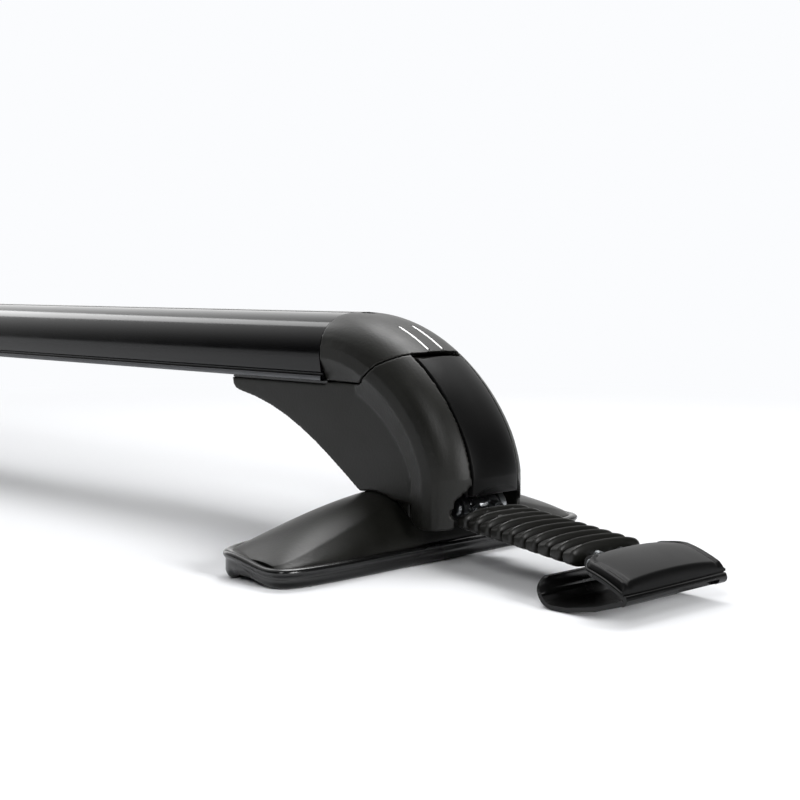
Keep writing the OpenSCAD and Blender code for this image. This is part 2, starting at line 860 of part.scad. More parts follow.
// Crimped eye on one rope end: a ring on its pin and a neck round the rope
module ferrule_ring(r, y) {
    translate([0, y, 0])
        rotate([90, 0, 0])
            cylinder(r = r, h = ferrule_w, center = true);
}

module rope_line(r, u0, u1) {
    for (y = [-0.5, 0.5])
        translate([u0, y * rope_gap, 0])
            rotate([0, 90, 0])
                cylinder(r = r, h = u1 - u0);
}

module rope_ferrules() {
    rope_in = ferrule_r;
    rope_out = strap_run - hook_ferrule_r;
    color(steel)
        difference() {
            union() {
                translate([anchor_out, 0, anchor_z])
                    for (y = [-0.5, 0.5])
                        ferrule_ring(ferrule_r, y * rope_gap);
                at_hook()
                    for (y = [-0.5, 0.5])
                        ferrule_ring(hook_ferrule_r, y * rope_gap);
                at_strap() {
                    rope_line(crimp_r, anchor_r, crimp_len);
                    rope_line(crimp_r, strap_run - crimp_len, strap_run - hook_pin_r);
                }
            }
            ybar(anchor_r, carriage_w, [anchor_out, anchor_z]);
            at_hook()
                ybar(hook_pin_r, carriage_w, [0, 0]);
            at_strap()
                rope_line(rope_r, rope_in, rope_out);
        }
}

module wire_ropes() {
    color("#d0d0d0")
        at_strap()
            rope_line(rope_r, ferrule_r, strap_run - hook_ferrule_r);
}

// Section of one rib, across the strap and up, drawn in by g
module rib_section(g) {
    half = strap_w / 2 - g;
    rise = strap_t / 2 - g;
    polygon([for (a = [0:15:345])
        let (v = half * spow(cos(a), 0.5), s = spow(sin(a), 0.7))
        [v, rise * s + (s > 0 ? strap_crown * (1 - pow(v / half, 2)) : 0)]]);
}

module sleeve_slice(g, u0, u1) {
    translate([u0, 0, 0])
        rotate([90, 0, 90])
            linear_extrude(u1 - u0)
                rib_section(g);
}

module strap_sleeve() {
    rib_half = rib_pitch * 0.43;
    crest = rib_pitch * 0.25;
    step = 0.8;
    color(rubber)
        at_strap()
            difference() {
                translate([sleeve_start, 0, -sleeve_drop])
                    rotate([0, -sleeve_tilt, 0]) {
                        sleeve_slice(rib_deep, 0, sleeve_len);
                        for (i = [0:rib_count - 1])
                            translate([(i + 0.5) * rib_pitch, 0, 0]) {
                                sleeve_slice(step, -rib_half, rib_half);
                                sleeve_slice(0, -crest, crest);
                            }
                    }
                rope_line(rope_r, 0, strap_run);
                rope_line(crimp_r, 0, crimp_len);
                rope_line(crimp_r, strap_run - crimp_len, strap_run);
            }
}

module hook_pin() {
    color(steel)
        at_hook()
            ybar(hook_pin_r, 2 * hook_eye_y + hook_eye_w + 1, [0, 0]);
}

// Path of the folded plate from the flange's outer edge round to the J lip, in X and Z
function fold_slope() = atan2(flange_drop * 1.7, flange_out - flange_in);
function fold_mid() =
    [flange_out, flange_z(flange_out) - hook_t / 2]
    - fold_r * [sin(fold_slope()), cos(fold_slope())];
function hook_path() =
    let (fall = 11, low = hook_t / 2 - hook_low, lip_r = 6)
    concat(
        arc(fold_mid(), fold_r, 90 - fold_slope(), -90 - fall),
        [[13, (low + fold_mid()[1] - fold_r) / 2 - 0.4], [1, low + 0.3]],
        arc([lip_r - lip_in, low + lip_r], lip_r, -90, -180),
        [[-lip_in, low - hook_t / 2 + lip_h]]);

module hook_flange() {
    us = flange_us();
    intersection() {
        slab(hook_w + cut, concat(
            [for (u = us) [u, flange_z(u)]],
            [for (u = reversed(us)) [u, flange_z(u) - hook_t]]));
        translate([0, 0, -20])
            linear_extrude(40)
                polygon(concat(
                    [for (u = us) [u, -flare(u, hook_w)]],
                    [for (u = reversed(us)) [u, flare(u, hook_w)]]));
    }
}

module hook_plate() {
    corner = 5;
    lip_top = lip_h - hook_low;
    color("#161616")
        at_hook()
            difference() {
                union() {
                    hook_flange();
                    slab(hook_w, strip(hook_path(), hook_t));
                    for (y = [-hook_eye_y, hook_eye_y])
                        translate([0, y, 0]) {
                            ybar(hook_eye_r, hook_eye_w, [0, 0]);
                            slab(hook_eye_w, [
                                [0, hook_eye_r], [flange_in + cut, flange_z(flange_in + cut)],
                                [flange_in + cut, flange_z(flange_in + cut) - hook_t],
                                [0, -hook_eye_r]]);
                        }
                }
                ybar(hook_pin_r + run_fit, hook_w, [0, 0]);
                translate([fold_mid()[0] - 1.5, window_v[0], fold_mid()[1] - fold_r - hook_t])
                    cube([10, window_v[1] - window_v[0], fold_r + hook_t]);
                for (m = [0, 1])
                    mirror([0, m, 0]) {
                        difference() {
                            translate([-lip_in - 2, hook_w / 2 - corner, lip_top - corner])
                                cube([4, corner + cut, corner + cut]);
                            xbar_at(corner, -lip_in - 3, -lip_in + 3, hook_w / 2 - corner,
                                lip_top - corner);
                        }
                        translate([rivet_u, rivet_v, flange_z(rivet_u)])
                            rotate([0, rivet_tilt(), 0])
                                cylinder(r = rivet_r, h = 3 * hook_t, center = true);
                    }
            }
}

module hook_pad() {
    us = flange_us();
    n = 12;
    color("#3a3a39")
        at_hook()
            difference() {
                skin([for (u = us)
                    let (half = flare(u, hook_w + pad_extra),
                        low = flange_z(u), s = flange_s(u), thick = pad_t - pad_thin * (1 - s),
                        crown = pad_crown * (0.45 + 0.55 * s))
                    concat(
                        [for (j = [0:n]) let (v = half * cos(180 * j / n))
                            [u, v, low + thick * (1 - 0.35 * pow(v / half, 6))
                                + crown * (1 - pow(v / half, 2))]],
                        [[u, -half, low], [u, half, low]])]);
                for (y = [-1, 1])
                    translate([rivet_u, y * rivet_v, flange_z(rivet_u)])
                        rotate([0, rivet_tilt(), 0])
                            cylinder(r = rivet_r, h = 3, center = true);
            }
}

// Tilt of the flange where the rivets pass through it
function rivet_tilt() = atan2(flange_z(rivet_u - 1) - flange_z(rivet_u + 1), 2);

module hook_rivets() {
    head_h = 1;
    color(steel)
        at_hook()
            for (y = [-1, 1])
                translate([rivet_u, y * rivet_v, flange_z(rivet_u)])
                    rotate([0, rivet_tilt(), 0]) {
                        translate([0, 0, -hook_t - head_h])
                            cylinder(r = rivet_r, h = hook_t + head_h + 1.5);
                        translate([0, 0, -hook_t * 1.03 - head_h])
                            cylinder(r = rivet_r * 1.8, h = head_h);
                    }
}

module piece(name) {
    if (name == "sole") sole();
    if (name == "base_plate") base_plate();
    if (name == "base_screws") base_screws();
    if (name == "foot_shell") foot_shell();
    if (name == "tower_body") tower_body();
    if (name == "bar_gasket") bar_gasket();
    if (name == "clamp_screws") clamp_screws();
    if (name == "clamp_nuts") clamp_nuts();
    if (name == "end_cap") end_cap();
    if (name == "cap_screw") cap_screw();
    if (name == "stripe_inlays") stripe_inlays();
    if (name == "access_cover") access_cover();
    if (name == "tension_bolt") tension_bolt();
    if (name == "bolt_washer") bolt_washer();
    if (name == "bolt_clip") bolt_clip();
    if (name == "carriage") carriage();
    if (name == "anchor_pin") anchor_pin();
    if (name == "rope_ferrules") rope_ferrules();
    if (name == "wire_ropes") wire_ropes();
    if (name == "strap_sleeve") strap_sleeve();
    if (name == "hook_pin") hook_pin();
    if (name == "hook_plate") hook_plate();
    if (name == "hook_pad") hook_pad();
    if (name == "hook_rivets") hook_rivets();
}

bar();
top_strip();
for (s = SIDES)
    for (p = PIECES)
        at_side(s) piece(p);
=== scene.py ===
"""Looks of the roof rack crossbar: fine surfaces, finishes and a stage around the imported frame.

Formulas are in millimetres and meshes in metres. Each foot is worked out about its own middle,
X outboard, Y along the vehicle and Z up, and the left foot is the right one mirrored across X.
"""

import json
import math

import bmesh
import bpy
import numpy as np
from bpy.props import FloatProperty, FloatVectorProperty, IntProperty, PointerProperty
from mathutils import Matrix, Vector
from mathutils.geometry import tessellate_polygon


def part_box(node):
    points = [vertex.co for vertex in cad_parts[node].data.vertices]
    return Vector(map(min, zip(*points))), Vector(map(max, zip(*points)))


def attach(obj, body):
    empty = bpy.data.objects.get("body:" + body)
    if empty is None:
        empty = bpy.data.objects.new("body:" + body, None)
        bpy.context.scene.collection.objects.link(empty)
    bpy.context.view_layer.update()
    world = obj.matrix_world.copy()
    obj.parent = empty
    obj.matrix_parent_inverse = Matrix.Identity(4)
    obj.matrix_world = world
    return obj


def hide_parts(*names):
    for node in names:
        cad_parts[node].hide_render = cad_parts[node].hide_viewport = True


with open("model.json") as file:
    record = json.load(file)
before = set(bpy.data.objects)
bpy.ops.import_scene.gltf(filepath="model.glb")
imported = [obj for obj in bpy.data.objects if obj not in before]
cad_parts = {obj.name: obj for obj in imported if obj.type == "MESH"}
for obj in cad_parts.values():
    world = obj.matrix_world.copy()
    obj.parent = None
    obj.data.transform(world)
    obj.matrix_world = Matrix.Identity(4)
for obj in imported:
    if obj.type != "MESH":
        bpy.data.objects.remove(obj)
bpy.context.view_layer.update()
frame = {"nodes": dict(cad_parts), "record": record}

bl_info = {
    "name": "Roof Rack Crossbar Looks",
    "version": (1, 0, 0),
    "blender": (4, 5, 0),
    "location": "3D View > Sidebar > Crossbar",
    "description": "Fine surfaces, finishes and stage of a roof rack crossbar",
    "category": "Object",
}

SIDES = ("right", "left")

# Sizes in millimetres and degrees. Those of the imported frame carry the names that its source
# gives them, and the others belong to the fine surfaces.

# Bar: section, slot, channel and the room inside
BAR_Z = 70.0
BAR_HALF = 406.0
BAR_SIDE = 24.0
BAR_WIDEST = 9.5
BAR_RISE = 18.5
BAR_WALL = 2.2
CROWN_N = 2.55
SLOT_HALF = 5.0
SLOT_CEILING = 26.0
SLOT_FLOOR = 20.0
UNDERCUT = 3.5
CORNER_R = 0.3
HOLLOW_FOOT = 20.0

# Foot: its screws' distance from its middle, sole, rim, dome and the tower's way through it
SCREW_X = 11.0
SOLE_OUT = 30.0
SOLE_LEN = 176.0
SOLE_IN_END = 14.0
SOLE_IN_MID = 24.0
FOOT_POWER = 0.3
RIM_H = 8.0
RIM_RISE = 3.0
RIM_W = 5.5
RIM_STEP = 24.0
RIM_STEP_FROM = 19.0
SOLE_FLOOR = 4.0
SOLE_ARCH = 2.2
DOME_H = 28.0
DOME_END = 9.2
DOME_WALL = 2.5
DOME_HALF = 84.6
DOME_INSET = 3.0
DOME_SUNK = 0.5
DOME_HOLLOW = 0.2
TOWER_IN = -4.3
TOWER_OUT = 21.3
TOWER_HALF = 17.3

# Shoulder: handles of its cubic, along and up, and the stripes let into it
SHOULDER = np.array([[-24.0, 98.0], [12.0, 98.0], [49.3, 66.0], [52.6, 36.0]])
STRIPE_W = 1.4
STRIPE_GAP = 8.0
STRIPE_MID = 0.95
STRIPE_HALF_T = 0.88
STRIPE_RUN = (0.245, 0.414)

# Strap: the two pins it runs between, its rubber, ribs and ropes
ANCHOR = np.array([42.0, 0.0, 23.5])
HOOK_PIN_Z = 14.8
STRAP_RUN = 77.0
STRAP_YAW = -9.0
STRAP_PITCH = math.degrees(math.asin((ANCHOR[2] - HOOK_PIN_Z) / STRAP_RUN))
SLEEVE_START = 7.2
SLEEVE_DROP = 2.4
SLEEVE_TILT = 2.75
STRAP_W = 33.6
STRAP_T = 7.8
STRAP_CROWN = 1.3
RIB_COUNT = 10
RIB_PITCH = 6.5
RIB_DEEP = 2.1
RIB_CREST = 0.84
RIB_LIP = 0.3
SCALLOP = 3.2
ROPE_R = 1.4
ROPE_GAP = 11.0
ROPE_COVER = 0.45
ROPE_RUN = (4.0, 74.0)

# Hook: the flange that carries the pad, and the pad
HOOK_YAW = -3.0
FLANGE_IN = 3.6
FLANGE_OUT = 24.6
PAD_W = 57.0
PAD_NECK = 35.0
PAD_FLARE = 7.0
PAD_RIM = 0.9
PAD_STEP_IN = 0.8

# Corners of the bar's half section, across and up: the flank from the crown down to the lip's
# foot, the clamp channel from its mouth up to its ceiling, and the lip's rounded nose, which
# carries a metal band that paints the floor's reflection along the lip
FLANK = [[23.2, 3.8], [22.2, 3.3], [22.2, 2.5], [23.4, 2], [23.4, 0.5], [22.9, 0]]
CHANNEL = [[4, 0], [4, 2.4], [7.5, 2.4], [7.5, 7.6]]
LIP_REFLECTION_NOSE = [[22.4, 0.3], [22.95, 0], [23.46, 0.45], [23.46, 2.03], [22.4, 2.4]]

# Moulded parts: body, width in metres of the cells that round their edges, smoothing passes
MOULDED = (
    ("tower_body", "rack", 0.00062, 4),
    ("end_cap", "rack", 0.0004, 2),
    ("access_cover", "{side}_cover", 0.0004, 2),
)

# Points closer than this, in metres, are one
MERGE = 2e-6

# How finely a shell's skin is put on its form, and how far from the form it may start
TRUE_STEPS = 301
TRUE_BATCH = 20000
TRUE_FROM = -24.2
TRUE_SIDE = 23.4
SAGITTA = 0.55
SAGITTA_FADE = 0.25

# Parts that are copied so that they shade round, and parts whose finish goes on the node
ROUND_PARTS = (
    "base_screws",
    "clamp_screws",
    "cap_screw",
    "tension_bolt",
    "bolt_washer",
    "bolt_clip",
    "anchor_pin",
    "rope_ferrules",
    "hook_pin",
    "hook_rivets",
    "carriage",
)
FLAT_PARTS = ("base_plate", "bar_gasket", "clamp_nuts")

# Patterns: clouds about 22 mm wide, and how many noise cells make one width of grain
CLOUDS_PER_METRE = 45.0
PITS_PER_WIDTH = 0.6

# Stage: camera in metres, millimetres of lens and degrees; floor in metres, with its tone near
# the part as a share of its colour; direction that the world glows from, how far a ray has to
# face it, from nothing to full, and how strong it glows at both
CAMERA_LENS = 61.77
CAMERA_SENSOR = 36.0
CAMERA_AT = (0.8262, -0.3974, 0.1104)
CAMERA_TURN = 45.0
CAMERA_DOWN = 4.9
FLOOR_HALF = 12.0
FLOOR_MIDDLE = (0.35, 0.0, 0.0)
FLOOR_NEAR = 0.85
FLOOR_FADE = (0.4, 0.9)
GLOW_FROM = (-0.7, 0.45, 0.55)
GLOW_FACING = (0.2, 0.85)
GLOW_STRENGTH = (0.01, 1.3)
FOOT = (0.45, 0.0, 0.05)

# Lamps: name, place, what it faces, width and height, watts
SOFTBOXES = (
    ("top_softbox", (0.25, 0.4, 1.15), (0.42, 0.0, 0.0), (0.7, 0.5), 11.0),
    ("right_softbox", (1.6, -0.1, 0.4), FOOT, (0.3, 0.5), 8.0),
    ("front_softbox", (1.0, -0.85, 0.75), FOOT, (0.25, 0.5), 3.5),
    ("left_softbox", (-1.0, 0.1, 0.8), FOOT, (0.4, 1.8), 8.0),
)


def linear(code):
    """An sRGB hex colour as linear red, green, blue and alpha."""
    part = [int(code[i : i + 2], 16) / 255 for i in (1, 3, 5)]
    light = [c / 12.92 if c <= 0.04045 else ((c + 0.055) / 1.055) ** 2.4 for c in part]
    return (*light, 1.0)


def colour(label, text, code):
    """A colour that the user can change."""
    return FloatVectorProperty(
        name=label, description=text, subtype="COLOR", size=4, min=0, max=1, default=linear(code)
    )


def length(label, text, millimetres):
    """A length that the user can change."""
    return FloatProperty(
        name=label, description=text, unit="LENGTH", min=0, default=millimetres / 1000, precision=5
    )


class CrossbarColours(bpy.types.PropertyGroup):
    """Colours of the finishes."""

    coating: colour("Bar coating", "Gloss coating of the bar", "#030304")
    nylon: colour("Grained nylon", "Tower, cap and foot shell", "#12120f")
    satin: colour("Satin plastic", "Access cover and hook pad", "#0a0a0a")
    stripe: colour("Stripes", "Inlaid stripes on the cap", "#f4f4f1")
    sole: colour("Sole", "Pressed rubber of the sole", "#0a0a0a")
    strap: colour("Strap", "Ribbed rubber of the strap", "#12120f")
    zinc: colour("Zinc", "Zinc plated steel", "#8d9092")
    wire: colour("Wire", "Galvanised wire of the ropes", "#c9cbcc")
    hook: colour("Hook", "Dipped paint of the hook", "#0c0c0c")
    floor: colour("Floor", "Pale studio floor", "#fbfcfe")


class CrossbarSizes(bpy.types.PropertyGroup):
    """Sizes of the fine detail."""

    lip_round: length("Lip rounding", "Rounding of the bar's slot and lips", 0.45)
    bead_round: length("Bead rounding", "Radius of the rolled bead on the sole", 1.5)
    rope_lay: length("Rope lay", "Length in which a strand turns once round its rope", 11.0)
    rope_strands: IntProperty(
        name="Strands", description="Strands of each wire rope", default=6, min=3, max=8
    )
    grain: length("Grain", "Width of the moulded grain as drawn", 0.7)


def spow(value, power):
    """Power that keeps the sign."""
    return np.sign(value) * np.abs(value) ** power


def rounded(loop, radius, steps=5):
    """Closed outline whose corners are parabolas: each runs from one radius before its corner to
    one radius after it, or less on a short edge, and bends towards the corner."""
    loop = np.asarray(loop, float)
    back = np.roll(loop, 1, 0) - loop
    ahead = np.roll(loop, -1, 0) - loop
    far_back = np.linalg.norm(back, axis=1, keepdims=True)
    far_ahead = np.linalg.norm(ahead, axis=1, keepdims=True)
    reach = np.minimum(np.reshape(radius, (-1, 1)), 0.45 * np.minimum(far_back, far_ahead))
    start = loop + back / far_back * reach
    end = loop + ahead / far_ahead * reach
    t = np.linspace(0, 1, steps)[None, :, None]
    curve = (1 - t) ** 2 * start[:, None] + 2 * t * (1 - t) * loop[:, None] + t * t * end[:, None]
    points = curve.reshape(-1, 2)
    apart = np.linalg.norm(points - np.roll(points, 1, 0), axis=1) > 1e-3
    return points[apart]


def quads(rows, columns, ring):
    """Corner numbers of a grid's faces: each point with the next along and the next across."""
    i = np.arange(rows - 1)[:, None] * columns
    j = np.arange(columns if ring else columns - 1)[None, :]
    k = (j + 1) % columns
    return np.stack([i + j, i + k, i + columns + k, i + columns + j], -1).reshape(-1, 4)


def turned(points, yaw=0.0, pitch=0.0):
    """Points turned about Y by the pitch, down for positive, and then about Z by the yaw."""
    cy, sy = math.cos(math.radians(yaw)), math.sin(math.radians(yaw))
    cp, sp = math.cos(math.radians(pitch)), math.sin(math.radians(pitch))
    about_z = np.array([[cy, -sy, 0], [sy, cy, 0], [0, 0, 1]])
    about_y = np.array([[cp, 0, sp], [0, 1, 0], [-sp, 0, cp]])
    return points @ (about_z @ about_y).T


def on_strap(points):
    """Points of the strap's frame, whose origin is the anchor pin, in the foot's frame."""
    return turned(points, STRAP_YAW, STRAP_PITCH) + ANCHOR


def on_hook(points):
    """Points of the hook's frame, whose origin is its pin, in the foot's frame."""
    pin = on_strap(np.array([[STRAP_RUN, 0.0, 0.0]]))
    return turned(points, HOOK_YAW) + pin


def in_world(points, side):
    """Millimetres of a foot's frame, or of the whole bar's, as metres of the world."""
    world = np.array(points, float).reshape(-1, 3)
    if side:
        world[:, 0] += frame_foot()
    if side == "left":
        world[:, 0] *= -1
    return world / 1000


def frame_foot():
    """Distance from the bar's middle to the foot's, read from the frame's base screws."""
    low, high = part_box("right_base_screws")
    return (low.x + high.x) * 500 - SCREW_X


def finish_mesh(mesh, angle):
    """Smooth faces with sharp edges wherever two faces meet at more than the angle."""
    mesh.shade_smooth()
    mesh.set_sharp_from_angle(angle=math.radians(angle))


def dress(context, piece, body, nodes, slot=None):
    """Gives a piece its finish and its body, and hides the CAD nodes that it stands for. Its slot
    is the first node's, unless one is given."""
    slot = slot or slot_of(nodes[0])
    piece.data.materials.clear()
    piece.data.materials.append(material_for(context, slot))
    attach(piece, body)
    if nodes:
        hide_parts(*nodes)


def solid(name, points, faces, side=None, angle=35, upward=False):
    """Object whose mesh has these points and faces, doubles merged and faces turned outward."""
    mesh = bpy.data.meshes.new(name)
    mesh.from_pydata(in_world(points, side).tolist(), [], [list(map(int, f)) for f in faces])
    work = bmesh.new()
    work.from_mesh(mesh)
    bmesh.ops.remove_doubles(work, verts=work.verts, dist=MERGE)
    bmesh.ops.recalc_face_normals(work, faces=work.faces)
    if upward and sum(f.normal.z * f.calc_area() for f in work.faces) < 0:
        bmesh.ops.reverse_faces(work, faces=work.faces)
    work.to_mesh(mesh)
    work.free()
    finish_mesh(mesh, angle)
    piece = bpy.data.objects.new(name, mesh)
    bpy.context.scene.collection.objects.link(piece)
    return piece


def bundle(name, shapes, side=None, angle=35, ends=True):
    """One object of several closed tubes of the same size. Each is a row of rings, rows x columns
    x 3, with a flat face on each end unless it closes by itself."""
    rows, columns = shapes[0].shape[:2]
    count = rows * columns
    starts = range(0, count * len(shapes), count)
    one = quads(rows, columns, True)
    faces = [face for start in starts for face in (one + start).tolist()]
    if ends:
        for start in starts:
            faces.append(list(range(start, start + columns)))
            faces.append(list(range(start + count - columns, start + count)))
    points = np.concatenate([shape.reshape(-1, 3) for shape in shapes])
    return solid(name, points, faces, side, angle)


def merged_copy(node, angle=30):
    """Copy of a CAD node whose loose triangles are merged, with its curved faces shaded as one."""
    mesh = frame["nodes"][node].data.copy()
    work = bmesh.new()
    work.from_mesh(mesh)
    bmesh.ops.remove_doubles(work, verts=work.verts, dist=MERGE)
    bmesh.ops.dissolve_degenerate(work, edges=work.edges, dist=1e-6)
    work.to_mesh(mesh)
    work.free()
    finish_mesh(mesh, angle)
    piece = bpy.data.objects.new(node + "_skin", mesh)
    bpy.context.scene.collection.objects.link(piece)
    return piece


def softened_copy(node, voxel, passes):
    """Copy of a CAD node filled anew with small cells and evened out, so that its moulded edges
    and inner corners are round. The cell's width sets the size of the rounding."""
    piece = merged_copy(node)
    fill = piece.modifiers.new("cells", "REMESH")
    fill.mode = "VOXEL"
    fill.voxel_size = voxel
    fill.use_smooth_shade = True
    even = piece.modifiers.new("even", "SMOOTH")
    even.factor = 0.5
    even.iterations = passes
    bpy.context.view_layer.update()
    shaped = piece.evaluated_get(bpy.context.evaluated_depsgraph_get())
    mesh = bpy.data.meshes.new_from_object(shaped)
    piece.modifiers.clear()
    piece.data = mesh
    finish_mesh(mesh, 50)
    return piece


def trued(mesh, side):
    """Puts the points of a shell's outer skin on its exact form. A point's depth under the
    shoulder is taken square to the nearest of many points on that cubic, or to the plumb line
    below it. The form's own depth is r - r (1 - |y / w|^n)^(1 / n), with the crown's rise r, half
    width w and power n. Where both differ by less than a facet's sagitta, the point moves along
    the shoulder's normal until they agree; the share of that move fades towards the flat sides."""
    points = np.empty(len(mesh.vertices) * 3)
    mesh.vertices.foreach_get("co", points)
    points = points.reshape(-1, 3) * 1000
    flip = -1 if side == "left" else 1
    x = points[:, 0] * flip - frame_foot()
    t = np.linspace(0, 1, TRUE_STEPS)
    curve = skin_curve(t, np.zeros((TRUE_STEPS, 1)))[:, 0]
    inward = skin_curve(t, np.ones((TRUE_STEPS, 1)))[:, 0] - curve
    flat = np.stack([x, points[:, 2]], 1)
    depth = np.empty(len(flat))
    away = np.empty_like(flat)
    for start in range(0, len(flat), TRUE_BATCH):
        batch = slice(start, start + TRUE_BATCH)
        near = np.argmin(((flat[batch, None] - curve) ** 2).sum(2), 1)
        depth[batch] = ((flat[batch] - curve[near]) * inward[near]).sum(1)
        away[batch] = inward[near]
    low = flat[:, 1] < SHOULDER[3, 1]
    depth[low] = SHOULDER[3, 0] - x[low]
    away[low] = [-1, 0]
    off_middle = np.abs(points[:, 1])
    across = np.clip(off_middle / BAR_SIDE, 0, 1)
    short = depth - BAR_RISE * (1 - (1 - across**CROWN_N) ** (1 / CROWN_N))
    share = np.clip((SAGITTA - np.abs(short)) / SAGITTA_FADE, 0, 1)
    share *= np.clip(TRUE_SIDE - off_middle, 0, 1) * (x > TRUE_FROM)
    move = away * (-short * share)[:, None]
    points[:, 0] += move[:, 0] * flip
    points[:, 2] += move[:, 1]
    mesh.vertices.foreach_set("co", (points / 1000).ravel())
    mesh.update()


# Finishes


def add(tree, kind, links=None, ramp=None, **settings):
    """Adds one node. A setting named as an input fills it, with _ for a space; any other sets the
    node itself. Links maps inputs, by name or by number, to the sockets that feed them, and a
    ramp lists its stops."""
    node = tree.nodes.new(kind)
    sockets = {s.name.lower().replace(" ", "_"): s for s in reversed(node.inputs)}
    for key, value in settings.items():
        if key in sockets:
            sockets[key].default_value = value
        else:
            setattr(node, key, value)
    for key, source in (links or {}).items():
        tree.links.new(source, node.inputs[key] if isinstance(key, int) else sockets[key])
    if ramp:
        for stop, (place, value) in zip(node.color_ramp.elements, ramp):
            stop.position = place
            stop.color = value
    return node


def shade(value, factor):
    """A colour made lighter or darker by a factor."""
    return tuple(min(1.0, c * factor) for c in value[:3]) + (1.0,)


def finish(name, base, rough, grain, **more):
    """A surface with the object's own coordinates feeding two patterns: a broad cloud that shifts
    the colour and the roughness a little, and a fine grain that bumps it. rough is the
    (smoothest, roughest) pair, and grain is (width, height, strength), lengths in metres."""
    material = bpy.data.materials.new(name)
    material.use_nodes = True
    material.diffuse_color = base
    tree = material.node_tree
    tree.nodes.clear()
    place = add(tree, "ShaderNodeTexCoord").outputs["Object"]
    cloud = add(
        tree, "ShaderNodeTexNoise", {"vector": place}, scale=CLOUDS_PER_METRE, detail=3.0
    )
    tone = add(
        tree,
        "ShaderNodeValToRGB",
        {"fac": cloud.outputs[0]},
        ramp=[(0.35, shade(base, 0.88)), (0.65, shade(base, 1.14))],
    )
    polish = add(
        tree,
        "ShaderNodeMapRange",
        {"value": cloud.outputs[0]},
        from_min=0.3,
        from_max=0.7,
        to_min=rough[0],
        to_max=rough[1],
    )
    width, height, strength = grain
    pits = add(
        tree, "ShaderNodeTexNoise", {"vector": place}, scale=PITS_PER_WIDTH / width, detail=4.0
    )
    bump = add(
        tree, "ShaderNodeBump", {"height": pits.outputs[0]}, strength=strength, distance=height
    )
    surface = add(
        tree,
        "ShaderNodeBsdfPrincipled",
        {"base_color": tone.outputs[0], "roughness": polish.outputs[0], "normal": bump.outputs[0]},
        **more,
    )
    add(tree, "ShaderNodeOutputMaterial", {"surface": surface.outputs[0]})
    return material


def finishes(colours, sizes):
    """Every finish of the crossbar, by the material slot it belongs to."""
    grain = sizes.grain
    return {
        # Gloss powder coat on extruded aluminium: deep black, mirror-like, a faint orange peel
        "bar_coating": finish(
            "gloss_powder_coat", colours.coating, (0.1, 0.16), (0.0016, 0.00002, 0.25), ior=1.5,
            specular_ior_level=0.24,
        ),
        # Glass-filled nylon from a spark-eroded mould: dry dark grey that spreads highlights; the
        # real grain of 0.2 mm is drawn coarser so that it shows
        "textured_plastic": finish(
            "spark_grained_nylon", colours.nylon, (0.38, 0.48), (grain, 0.00012, 0.5), ior=1.53,
            specular_ior_level=0.3,
        ),
        # ABS from a finely blasted mould: darker and smoother, with a clear soft sheen
        "smooth_plastic": finish(
            "satin_abs", colours.satin, (0.36, 0.44), (grain * 0.7, 0.00003, 0.3), ior=1.53,
            specular_ior_level=0.09,
        ),
        # White ABS inlays, polished
        "white_plastic": finish(
            "white_abs", colours.stripe, (0.3, 0.36), (0.0008, 0.00002, 0.1), ior=1.53
        ),
        # Pressed EPDM sole: black with an oily gloss along its bead
        "sole_rubber": finish(
            "pressed_rubber", colours.sole, (0.2, 0.3), (0.0012, 0.00005, 0.3), ior=1.52
        ),
        # Moulded EPDM of the strap: soft, with a grey bloom on its ribs
        "strap_rubber": finish(
            "bloomed_rubber", colours.strap, (0.34, 0.44), (0.0006, 0.00006, 0.4), ior=1.52,
            specular_ior_level=0.3,
        ),
        # Zinc plated steel: pale and bright with a cloudy passivation
        "zinc_steel": finish(
            "zinc_plate", colours.zinc, (0.25, 0.4), (0.0008, 0.00002, 0.2), metallic=1.0
        ),
        # Galvanised drawn wire
        "rope_steel": finish(
            "galvanised_wire", colours.wire, (0.24, 0.34), (0.0004, 0.00004, 0.3), metallic=1.0
        ),
        # Black oxide on steel: dark metal with an oily shine
        "black_steel": finish(
            "black_oxide", linear("#5a5b5d"), (0.3, 0.42), (0.0006, 0.00002, 0.2), metallic=1.0
        ),
        # Dipped paint on pressed steel: thin, black and glossy
        "hook_paint": finish(
            "dipped_paint", colours.hook, (0.2, 0.3), (0.0014, 0.00003, 0.25), ior=1.5,
            specular_ior_level=0.25,
        ),
    }


def slot_of(node):
    """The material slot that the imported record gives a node."""
    for entry in frame["record"]["subparts"]:
        if node in (entry.get("node"), entry.get("name")):
            return entry["material_slot"]
    raise RuntimeError("the record gives no material slot for " + node)


# The finishes, by slot, once they are made
SHELF = {}


def material_for(context, slot):
    """The finish of a slot, made once for the whole object."""
    if not SHELF:
        SHELF.update(finishes(context.scene.crossbar_colours, context.scene.crossbar_sizes))
    return SHELF[slot]


# Bar


def crown(side, rise, steps):
    """Half of a superellipse crown, from its widest point to its top: across is the half width
    times cos^(2 / n), and up is the rise times sin^(2 / n)."""
    a = np.linspace(0, math.pi / 2, steps)
    across = side * spow(np.cos(a), 2 / CROWN_N)
    return np.stack([across, BAR_WIDEST + rise * spow(np.sin(a), 2 / CROWN_N)], 1)


def crown_height(across, side, rise):
    """Height of that crown at a distance from the middle."""
    return BAR_WIDEST + rise * (1 - (across / side) ** CROWN_N) ** (1 / CROWN_N)


